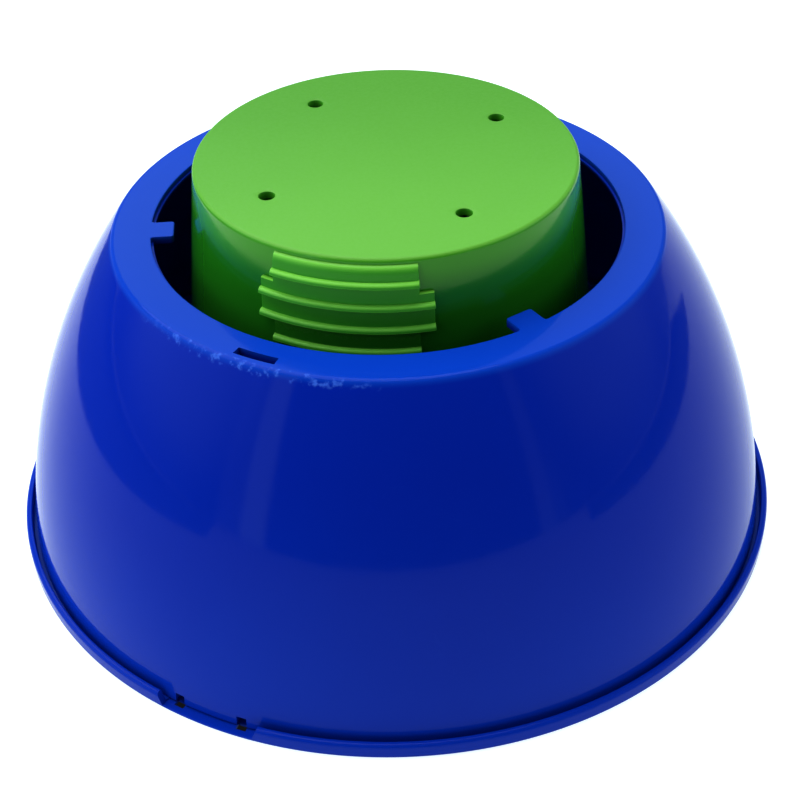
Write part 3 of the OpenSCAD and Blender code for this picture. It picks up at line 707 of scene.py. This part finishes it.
# Inside: column, cage, cap, pin and septum
column = {"foot": 46.0, "head": 50.0, "wall": 2.2, "plate": 2.2, "lipRadius": 57.74, "lipWall": 1.8,
          "bore": 10.15}
basket = {"radius": 14.0, "wall": 1.6, "foot": 18.0, "footHeight": 1.8, "spigot": 10.0, "slots": 8,
          "slotWidth": 4.0, "slotBand": 4.0, "round": 0.6, "brimRound": (0.4, 0.3), "step": 3.0}
cap = {"plate": 2.0, "plug": 12.15, "plugWall": 1.4, "knob": 4.5, "waist": 3.9, "bore": 0.85}
septum = {"tip": 3.5, "well": 2.0, "wellHeight": 6.0, "bore": 0.85, "boreDepth": 5.5}


def buildColumn(finish):
    c = column
    low, high = extent("centre_column")
    seat = extent("lure_cup")[0][2]
    plate, plateR, lipIn = seat - c["plate"], high[0], c["lipRadius"] - c["lipWall"]
    corners = [(c["foot"] - c["wall"], low[2], 0.2), (c["foot"], low[2], 0.2), (c["head"], plate, 0.8),
               (plateR, plate, 0.6), (plateR, seat, 0.3), (c["lipRadius"], seat, 0.3), (c["lipRadius"], high[2], 0.5),
               (lipIn, high[2], 0.5), (lipIn, seat, 0.8), (c["bore"], seat, 0.2), (c["bore"], plate, 0.2),
               (c["head"] - c["wall"], plate, 0.8)]
    return makeTurned("centre_column_look", corners, 2.0, finish, "base")


def buildBasket(finish):
    # section of the spigot, foot and cage wall carried round the axis; the slots are cells taken out of both
    # sides of the wall and joined through it
    b = basket
    low, high = extent("lure_basket")
    seat, top = extent("lure_cup")[0][2], high[2]
    inside, footTop = b["radius"] - b["wall"], seat + b["footHeight"]
    slotLow, slotHigh = seat + b["slotBand"], top - b["slotBand"]
    rows = np.linspace(slotLow, slotHigh, 5)
    f, (out, within) = b["round"], b["brimRound"]
    foot = np.concatenate([[[0, low[2]], [b["spigot"] - 0.4, low[2]], [b["spigot"], low[2] + 0.4],
                            [b["spigot"], seat], [b["foot"] - 0.2, seat], [b["foot"], seat + 0.2]],
                           arc(b["foot"] - f, footTop - f, f, 0, 90, 5),
                           arc(b["radius"] + f, footTop + f, f, -90, -180, 5)])
    outside = np.stack([np.full(5, b["radius"]), rows], 1)
    brim = np.concatenate([arc(b["radius"] - out, top - out, out, 0, 90, 4),
                           arc(inside + within, top - within, within, 90, 180, 4)])
    inner = np.stack([np.full(5, inside), rows[::-1]], 1)
    bottom = np.concatenate([arc(inside - f, footTop + f, f, 0, -90, 5), [[0, footTop]]])
    profile = np.concatenate([foot, outside, brim, inner, bottom])
    outerRows = len(foot) + np.arange(5)
    innerRows = len(foot) + 5 + len(brim) + np.arange(4, -1, -1)
    middle = np.arange(b["slots"]) * 360 / b["slots"]
    half = math.degrees(math.asin(b["slotWidth"] / 2 / (b["radius"] - b["wall"] / 2)))
    spans = middle[:, None] + np.array([-half, half])
    angle = columnAngles(-20.0, b["step"], spans.reshape(-1), 0.8)
    points = revolve(profile, angle)
    index = gridIndex(points)
    keep = np.ones(index.shape, bool)
    walls = []
    for start, end in np.abs(angle[None, None] - spans[..., None]).argmin(2):
        openCells(keep, outerRows, start, end)
        openCells(keep, innerRows, start, end)
        walls.append(joinLoops([blockLoop(index, through, start, end) for through in (outerRows, innerRows)]))
    quads = np.concatenate([gridQuads(index, keep)] + walls)
    return makePiece("lure_basket_look", points, quads, finish, "base")


def buildCap(finish):
    c = cap
    low, high = extent("basket_cap")
    seat = extent("lure_basket")[1][2]
    plate, pinTop, plugIn = seat + c["plate"], extent("septum_pin")[1][2], c["plug"] - c["plugWall"]
    corners = [(0, high[2], 0), (c["knob"], high[2], 0.9), (c["knob"], high[2] - 2.2, 0.7), (c["waist"], plate, 0.5),
               (high[0], plate, 0.6), (high[0], seat, 0.3), (c["plug"], seat, 0.1), (c["plug"], low[2], 0.4),
               (plugIn, low[2], 0.3), (plugIn, seat, 0.4), (c["bore"], seat, 0.15), (c["bore"], pinTop, 0),
               (0, pinTop, 0)]
    return makeTurned("basket_cap_look", corners, 3.0, finish, "lure")


def buildPin(finish):
    low, high = extent("septum_pin")
    corners = [(0, high[2], 0), (high[0], high[2], 0.1), (high[0], low[2], 0.35), (0, low[2], 0)]
    return makeTurned("septum_pin_look", corners, 10.0, finish, "lure")


def buildSeptum(finish):
    s = septum
    low, high = extent("lure_septum")
    well, bore = low[2] + s["wellHeight"], high[2] - s["boreDepth"]
    corners = [(0, bore, 0), (s["bore"], bore, 0), (s["bore"], high[2], 0.25), (high[0], high[2], 0.7),
               (s["tip"], low[2], 0.6), (s["well"], low[2], 0.4), (s["well"], well, 0.5), (0, well, 0)]
    return makeTurned("lure_septum_look", corners, 5.0, finish, "lure")


# Room: camera, light, floor
shot = {"place": (0.0, -0.40464, 0.3420), "pitch": 37.62, "yaw": 0.29, "roll": -1.7, "focal": 1600.0}
room = {"floor": (0.42, 0.44, 0.44, 1), "tableTint": (0.92, 1.0, 1.0, 1), "lit": 0.88, "floorAway": 4.0,
        "floorZ": -0.0003, "floorRings": 6, "floorStep": 3.0, "frontTurn": (80.0, 130.0), "overRise": (35.0, 80.0),
        "darkRise": (-24.0, -18.0), "panelFade": 9.0, "stripFade": 10.0,
        "front": 0.17, "back": 0.5, "above": 0.25, "below": 0.012, "soft": 1.2, "tint": (0.70, 1.0, 1.14, 1),
        "glows": ((-86.0, 27.0, 38.0, 1.6), (86.0, 25.0, 34.0, 1.1),
                  (-167.0, 36.0, 14.0, 1.8), (166.0, 33.0, 13.0, 1.3)),
        "panels": ((-122.0, -53.0, 4.0, 0.75), (-39.0, 42.0, 48.0, 0.85), (48.0, 108.0, 4.0, 0.4)),
        "strips": ((-55.0, -39.0, 45.0, 0.45), (-47.0, -39.0, 45.0, 1.5),
                   (42.0, 47.0, 40.0, 0.5), (42.0, 51.0, 9.0, 0.3)),
        "cloth": (0.09, 0.13, 0.15, 1), "clothZ": 0.0005,
        "cloths": (((-0.17, 0.40), (-3.0, 2.1), (-3.0, -2.2), (-0.64, -0.47)),
                   ((0.70, -0.50), (3.0, -2.0), (3.0, 1.2), (0.58, 0.35)))}
lamps = {"over": {"place": (-0.38, 0.33, 1.40), "size": 1.7, "power": 22.5, "mirrored": True},
         "left": {"place": (-1.1, 0.28, 0.55), "size": 0.8, "power": 2.8, "mirrored": False},
         "right": {"place": (1.1, 0.22, 0.55), "size": 0.8, "power": 2.9, "mirrored": False}}


def buildCamera():
    s = shot
    pitch, yaw, roll = (math.radians(s[key]) for key in ("pitch", "yaw", "roll"))
    ahead = np.array([math.sin(yaw) * math.cos(pitch), math.cos(yaw) * math.cos(pitch), -math.sin(pitch)])
    level = np.array([math.cos(yaw), -math.sin(yaw), 0])
    upright = np.cross(level, ahead)
    right = math.cos(roll) * level + math.sin(roll) * upright
    up = math.cos(roll) * upright - math.sin(roll) * level
    lens = bpy.data.cameras.new("camera")
    lens.sensor_width = 36.0
    lens.lens = 36.0 * s["focal"] / 800  # the picture is 800 pixels wide
    lens.clip_start = 0.01
    camera = bpy.data.objects.new("camera", lens)
    turn = np.eye(4)
    turn[:3] = np.stack([right, up, -ahead, np.array(s["place"])], 1)
    camera.matrix_world = Matrix(turn.tolist())
    bpy.context.scene.collection.objects.link(camera)
    bpy.context.scene.camera = camera


def buildWorld():
    # what the gloss mirrors: a room that is dim in front and brighter behind and overhead, with soft glows, darker
    # panels and lighter upright strips between them; the camera sees a plain pale backdrop, dark below the floor:
    # painted shade that the drain holes show
    r = room
    world = bpy.data.worlds.new("room")
    world.use_nodes = True
    bpy.context.scene.world = world
    tree = world.node_tree
    toward = put(tree, "ShaderNodeTexCoord").outputs["Generated"]
    axes = put(tree, "ShaderNodeSeparateXYZ", {0: toward}).outputs
    side = maths(tree, "ARCTAN2", axes[0], maths(tree, "MULTIPLY", axes[1], -1.0))  # 0 ahead, + to the right
    rise = maths(tree, "ARCSINE", axes[2])
    soft = math.radians(r["soft"])

    def between(start, end, top, upper):  # 1 inside a range of directions below a height, 0 outside
        start, end, top, upper = (math.radians(v) for v in (start, end, top, upper))
        across = maths(tree, "MULTIPLY", ramp(tree, side, start - soft, start + soft),
                       ramp(tree, side, end - soft, end + soft, 1.0, 0.0))
        return maths(tree, "MULTIPLY", across, ramp(tree, rise, top - upper, top + upper, 1.0, 0.0))

    light = ramp(tree, maths(tree, "ABSOLUTE", side), *map(math.radians, r["frontTurn"]), r["front"], r["back"])
    light = maths(tree, "ADD", light, ramp(tree, rise, *map(math.radians, r["overRise"]), 0.0, r["above"]))
    for middle, height, wide, glow in r["glows"]:
        a, b = math.radians(middle), math.radians(height)
        heart = (math.sin(a) * math.cos(b), -math.cos(a) * math.cos(b), math.sin(b))
        near = put(tree, "ShaderNodeVectorMath", {0: toward, 1: heart}, operation="DOT_PRODUCT").outputs["Value"]
        light = maths(tree, "ADD", light, ramp(tree, near, math.cos(math.radians(wide)), 1.0, 0.0, glow))
    for start, end, top, depth in r["panels"]:
        panel = maths(tree, "MULTIPLY", between(start, end, top, r["panelFade"]), depth)
        light = maths(tree, "MULTIPLY", light, maths(tree, "SUBTRACT", 1.0, panel))
    for start, end, top, glow in r["strips"]:
        strip = maths(tree, "MULTIPLY", between(start, end, top, r["stripFade"]), glow)
        light = maths(tree, "ADD", light, strip)
    tree.links.new(light, tree.nodes["Background"].inputs["Strength"])
    tree.nodes["Background"].inputs["Color"].default_value = r["tint"]
    # dark below the floor for the camera only: painted shade seen through the drain holes
    dim = ramp(tree, rise, *map(math.radians, r["darkRise"]), r["below"], 1.0)
    plain = put(tree, "ShaderNodeBackground", {"Color": (1, 1, 1, 1), "Strength": dim}).outputs[0]
    seen = put(tree, "ShaderNodeLightPath").outputs["Is Camera Ray"]
    both = put(tree, "ShaderNodeMixShader", {0: seen, 1: tree.nodes["Background"].outputs[0], 2: plain})
    tree.links.new(both.outputs[0], tree.nodes["World Output"].inputs["Surface"])


def buildLamps():
    for name, lamp in lamps.items():
        light = bpy.data.lights.new(name, "AREA")
        light.shape = "DISK"
        light.size = lamp["size"]
        light.energy = lamp["power"]
        made = bpy.data.objects.new(name, light)
        made.visible_glossy = lamp["mirrored"]
        place = np.array(lamp["place"])
        back = place / np.linalg.norm(place)  # the lamp's own +Z points away from the trap
        across = np.cross([0.0, 1.0, 0.0], back)
        across /= np.linalg.norm(across)
        turn = np.eye(4)
        turn[:3] = np.stack([across, np.cross(back, across), back, place], 1)
        made.matrix_world = Matrix(turn.tolist())
        bpy.context.scene.collection.objects.link(made)


def buildFloor():
    # flat rings from just inside the tray's foot outwards, a little below it: a pale table that glows, open under
    # the tray, so that the drain holes look into the dark backdrop below the floor, a painted shade
    finish, tree, shader, spot = newFinish("floor")
    duller = tuple(0.985 * c for c in room["floor"][:3]) + (1,)
    link(tree, shader, Base_Color=blendColour(tree, noise(tree, spot, 3.0, 2.0), duller, room["floor"]))
    shader.inputs["Roughness"].default_value = 0.9
    shader.inputs["Emission Color"].default_value = room["tableTint"]
    shader.inputs["Emission Strength"].default_value = room["lit"]
    shader.inputs["Specular IOR Level"].default_value = 0.0
    inner = (extent("base_tray")[1][0] - 1) * mm
    rings = np.geomspace(inner, room["floorAway"], room["floorRings"])
    rings = np.stack([rings, np.full(len(rings), room["floorZ"])], 1)
    points = revolve(rings, np.arange(0, 360, room["floorStep"]))
    index = gridIndex(points)
    keep = np.ones(index.shape, bool)
    keep[-1] = False
    spots, quads, triangles, _ = weld(points.reshape(-1, 3), gridQuads(index, keep), ())
    mesh = bpy.data.meshes.new("floor")
    mesh.from_pydata(spots.tolist(), [], [face[::-1] for face in quads.tolist() + triangles.tolist()])
    mesh.materials.append(finish)
    ground = bpy.data.objects.new("floor", mesh)
    bpy.context.scene.collection.objects.link(ground)


def buildCloths():
    # dark cloths on the table, off to the sides, which only the gloss mirrors
    finish, tree, shader, spot = newFinish("cloth")
    shader.inputs["Base Color"].default_value = room["cloth"]
    shader.inputs["Roughness"].default_value = 1.0
    shader.inputs["Specular IOR Level"].default_value = 0.0
    spots = [(x, y, room["clothZ"]) for corners in room["cloths"] for x, y in corners]
    mesh = bpy.data.meshes.new("cloths")
    mesh.from_pydata(spots, [], [(0, 3, 2, 1), (4, 7, 6, 5)])
    mesh.materials.append(finish)
    cloths = bpy.data.objects.new("cloths", mesh)
    cloths.visible_camera = cloths.visible_diffuse = cloths.visible_shadow = False
    bpy.context.scene.collection.objects.link(cloths)


blue, green, white = bluePlastic(), greenPlastic(), whitePlastic()
print("finishes made")
buildTray(blue)
buildDome(blue)
buildColumn(blue)
buildCup(green)
buildBasket(white)
buildCap(white)
buildPin(pinSteel())
buildSeptum(septumRubber())
print("pieces made")
buildCamera()
buildWorld()
buildLamps()
buildFloor()
buildCloths()
view = bpy.context.scene.view_settings
view.view_transform = "Standard"
view.gamma = 0.85  # a little more contrast
print("room made")
